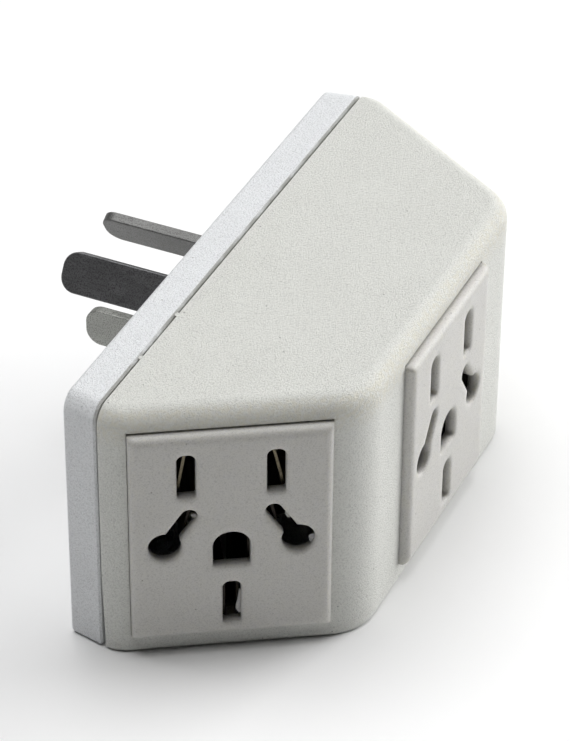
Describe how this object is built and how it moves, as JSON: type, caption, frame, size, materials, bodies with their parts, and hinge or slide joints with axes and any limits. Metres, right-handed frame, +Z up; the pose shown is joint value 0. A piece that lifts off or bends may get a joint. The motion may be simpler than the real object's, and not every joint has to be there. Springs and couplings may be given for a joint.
{
  "type": "multi socket adapter",
  "caption": "Plug-in adapter with a trapezoidal white case, a flat-pin plug on its rear face and a multi-standard socket on each of its other upright faces.",
  "frame": {"origin": "where the plug's axis meets the flat rear face that lies against the wall outlet", "axes": "+X along the wall, to the right as seen from the front; +Y into the wall, along the pins; +Z up"},
  "size_m": [0.0928, 0.0601, 0.0429],
  "materials": {
    "shell": "off-white moulded plastic with a fine grain",
    "cover": "cooler white moulded plastic with a fine grain",
    "plate": "off-white moulded plastic, smooth and slightly satin",
    "pin": "dull nickel plate with fine drawing marks",
    "contact": "bare stamped brass",
    "screw": "zinc-plated steel"
  },
  "bodies": {
    "root": {"front_shell": "shell", "rear_cover": "cover", "socket_plate_left": "plate", "socket_plate_front": "plate", "socket_plate_right": "plate", "live_pin": "pin", "neutral_pin": "pin", "earth_pin": "pin", "live_bus": "contact", "neutral_bus": "contact", "earth_bus": "contact", "live_clip_left": "contact", "live_clip_front": "contact", "live_clip_right": "contact", "neutral_clip_left": "contact", "neutral_clip_front": "contact", "neutral_clip_right": "contact", "earth_clip_left": "contact", "earth_clip_front": "contact", "earth_clip_right": "contact", "case_screws": "screw"}
  },
  "joints": []
}
